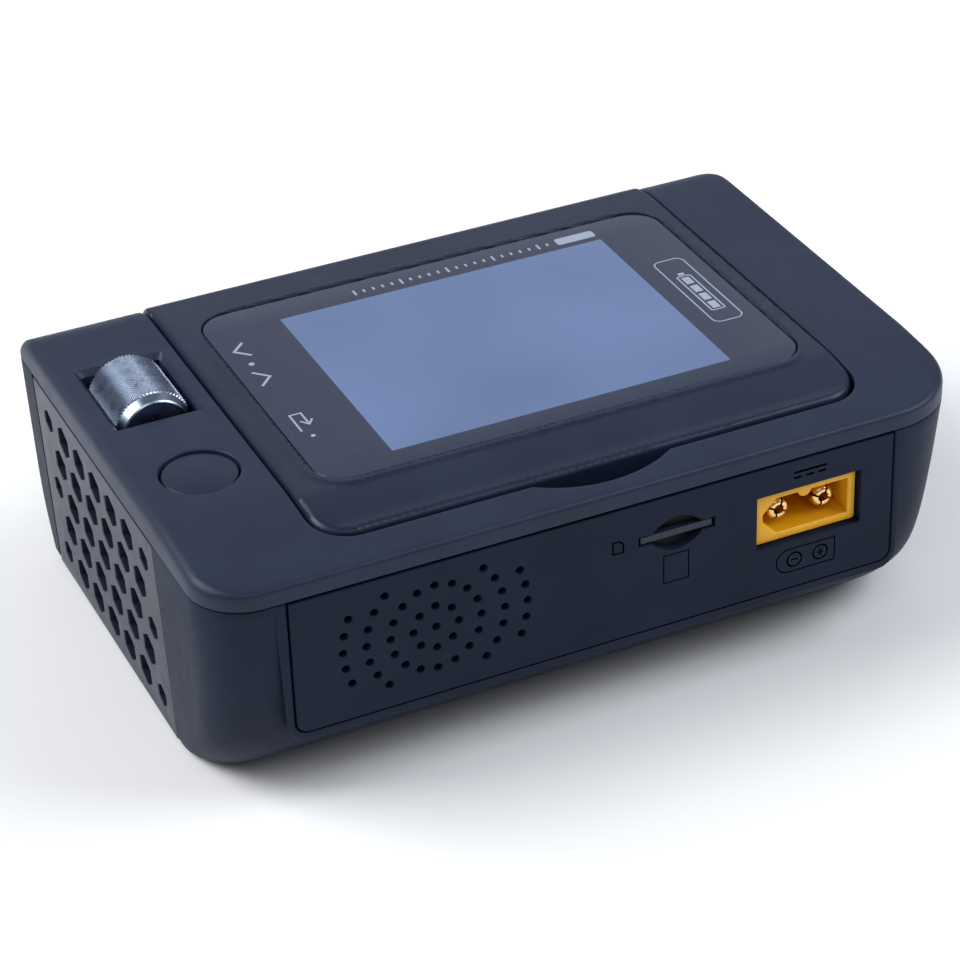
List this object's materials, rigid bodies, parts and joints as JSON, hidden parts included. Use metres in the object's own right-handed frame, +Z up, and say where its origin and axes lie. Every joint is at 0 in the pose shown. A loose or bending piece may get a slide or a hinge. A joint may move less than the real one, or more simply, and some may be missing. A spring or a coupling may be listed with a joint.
{
  "type": "balance battery charger",
  "caption": "Compact box charger for model batteries with a tilting colour screen, knurled scroll wheel, push button, yellow power inlet, card slot, speaker and side grilles.",
  "frame": {"origin": "middle of the four feet, on the surface they stand on", "axes": "+Z up; +X along the longest side; -Y faces the power inlet side and -X the side with the scroll wheel"},
  "size_m": [0.116, 0.079, 0.0408],
  "materials": {
    "case_plastic": "fine-grained dark blue-grey moulded plastic",
    "panel_plastic": "fine-grained near-black blue moulded plastic",
    "screen_plastic": "satin dark blue-grey moulded plastic",
    "display_glass": "glossy tinted display cover",
    "lcd_face": "unlit grey-blue liquid crystal panel",
    "steel": "bright machined or plated steel",
    "gold": "gold plate",
    "amber_nylon": "amber yellow nylon",
    "white_nylon": "natural white nylon",
    "black_plastic": "black moulded plastic",
    "rubber": "black rubber",
    "circuit_board": "green solder mask over glass-fibre board",
    "aluminium": "extruded aluminium",
    "ferrite": "dark grey pressed ferrite",
    "foil_sleeve": "dark blue printed sleeve with no lettering",
    "cone_paper": "black treated paper cone",
    "ribbon_film": "amber flexible circuit film"
  },
  "bodies": {
    "case": {"lower_case": "case_plastic", "top_lid": "case_plastic", "input_panel": "panel_plastic", "output_panel": "panel_plastic", "left_vent_panel": "panel_plastic", "right_vent_panel": "panel_plastic", "input_connector_shell": "amber_nylon", "input_pin_minus": "gold", "input_pin_plus": "gold", "battery_connector_shell": "amber_nylon", "battery_pin_minus": "gold", "battery_pin_plus": "gold", "card_socket": "steel", "speaker_frame": "steel", "speaker_cone": "cone_paper", "balance_header": "white_nylon", "balance_pin_comb": "gold", "usb_shell": "steel", "usb_tongue": "black_plastic", "main_board": "circuit_board", "logic_board": "circuit_board", "key_board": "circuit_board", "heatsink": "aluminium", "inductor_1": "ferrite", "inductor_2": "ferrite", "fan_frame": "black_plastic", "wheel_click_switch": "black_plastic", "exit_switch": "black_plastic", "hinge_pin_left": "steel", "hinge_pin_right": "steel", "display_ribbon": "ribbon_film", "case_screw_1": "steel", "rubber_foot_1": "rubber", "capacitor_1": "foil_sleeve", "case_screw_2": "steel", "rubber_foot_2": "rubber", "capacitor_2": "foil_sleeve", "case_screw_3": "steel", "rubber_foot_3": "rubber", "capacitor_3": "foil_sleeve", "case_screw_4": "steel", "rubber_foot_4": "rubber", "capacitor_4": "foil_sleeve"},
    "screen": {"screen_bezel": "screen_plastic", "screen_glass": "display_glass", "lcd_panel": "lcd_face", "screen_board": "circuit_board", "screen_back_cover": "case_plastic"},
    "wheel_mount": {"wheel_carrier": "black_plastic", "wheel_encoder": "black_plastic"},
    "wheel": {"wheel_roller": "steel", "wheel_shaft": "steel"},
    "button": {"exit_button": "screen_plastic"},
    "fan": {"fan_rotor": "black_plastic"},
    "card": {"memory_card": "black_plastic"}
  },
  "joints": [
    {"name": "screen_tilt", "type": "hinge", "parent": "case", "child": "screen", "pos_m": [0.0026, 0.0353, 0.0342], "axis": [-1, 0, 0], "range_deg": [0, 60]},
    {"name": "wheel_click", "type": "slide", "parent": "case", "child": "wheel_mount", "axis": [0, 0, -1], "range_m": [0, 0.0005], "stiffness_N_per_m": 2000},
    {"name": "wheel_spin", "type": "hinge", "parent": "wheel_mount", "child": "wheel", "pos_m": [-0.0478, 0.014, 0.035], "axis": [0, 1, 0], "continuous": true},
    {"name": "button_press", "type": "slide", "parent": "case", "child": "button", "axis": [0, 0, -1], "range_m": [0, 0.0007], "stiffness_N_per_m": 1500},
    {"name": "fan_spin", "type": "hinge", "parent": "case", "child": "fan", "pos_m": [0.0475, 0.009, 0.016], "axis": [1, 0, 0], "continuous": true},
    {"name": "card_slide", "type": "slide", "parent": "case", "child": "card", "axis": [0, -1, 0], "range_m": [-0.0003, 0.012]}
  ]
}
